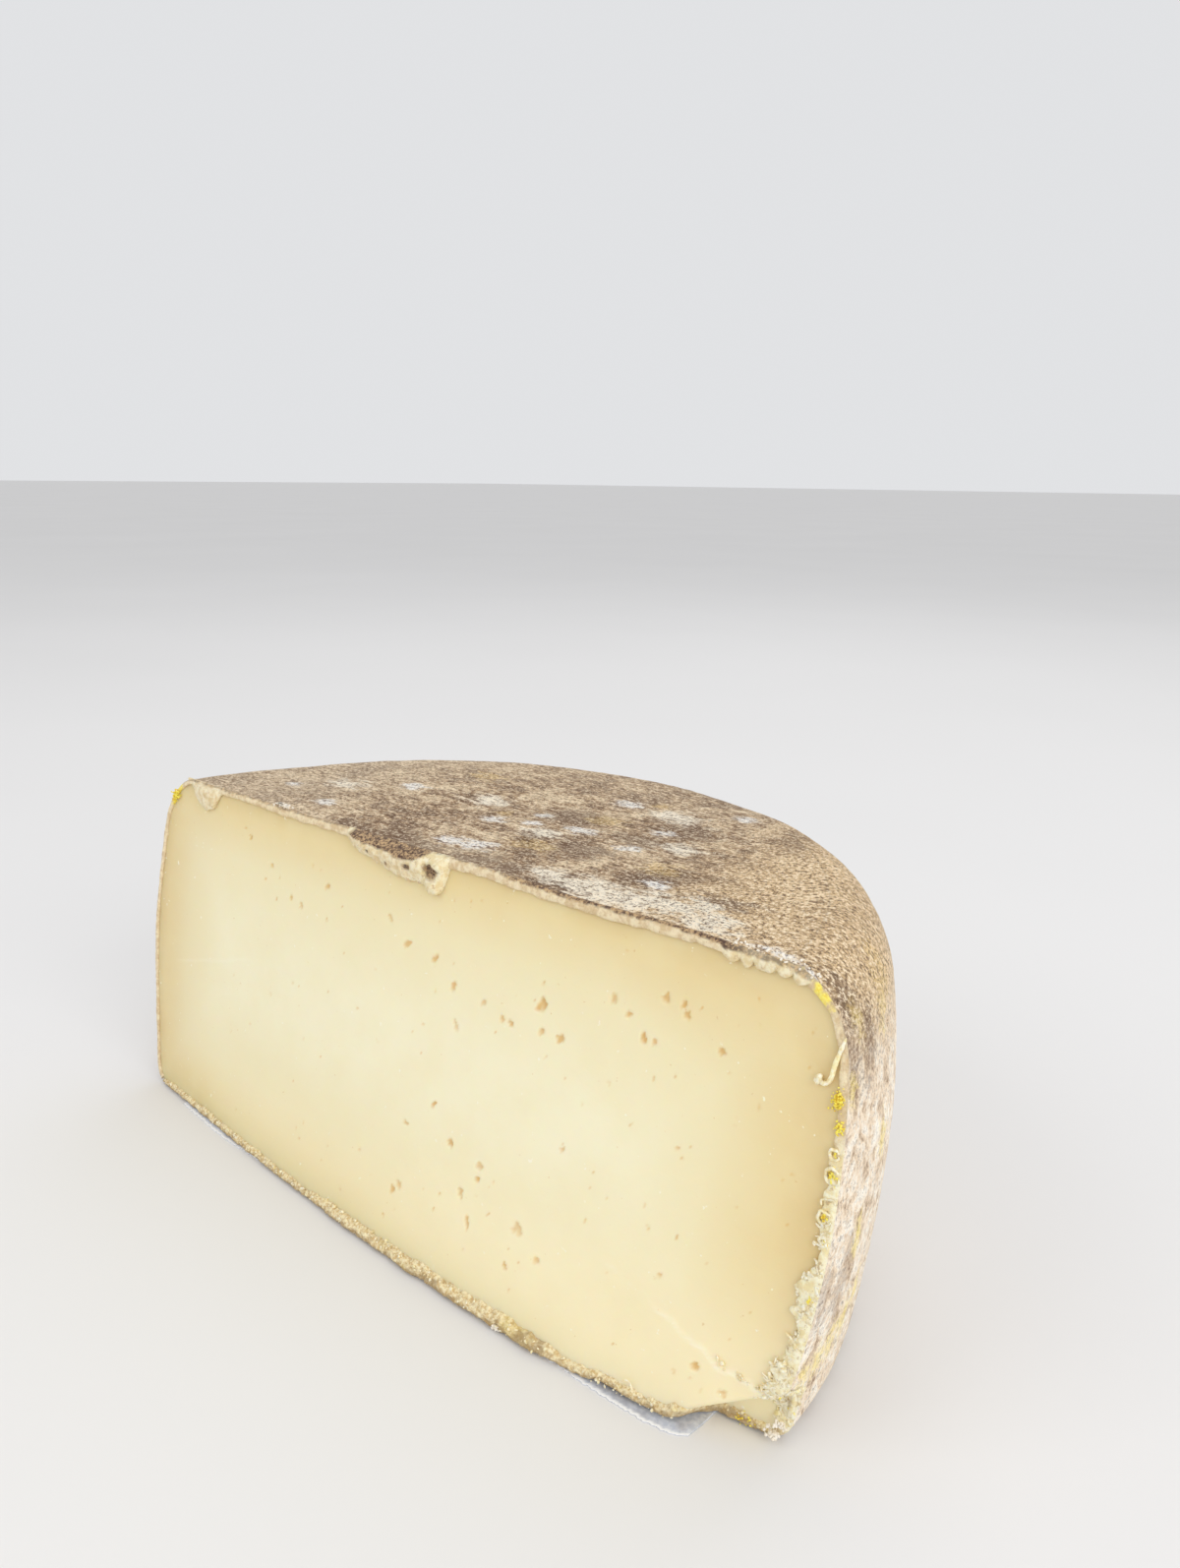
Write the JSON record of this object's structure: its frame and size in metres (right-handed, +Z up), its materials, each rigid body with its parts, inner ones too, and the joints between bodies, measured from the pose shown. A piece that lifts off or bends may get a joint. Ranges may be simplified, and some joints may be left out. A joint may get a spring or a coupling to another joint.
{
  "type": "half wheel of hard sheep's milk cheese",
  "caption": "Half wheel of hard sheep's milk cheese with a mouldy natural rind, an uneven leaning cut face and a bare paper label under its flat base.",
  "frame": {"origin": "on the wheel's axis, at the flat underside of the label that the cheese rests on", "axes": "+Z up, +X along the cut face to the right as seen from the front, +Y from the cut into the cheese"},
  "size_m": [0.2555, 0.1438, 0.1045],
  "materials": {
    "cheese": "cream ivory paste with a satin cut, and a dry grey-brown mouldy rind with grain, pale patches and small yellow spots",
    "label": "thin bare off-white paper with a torn, fuzzy front edge"
  },
  "bodies": {
    "root": {"cheese": "cheese", "label": "label"}
  },
  "joints": []
}
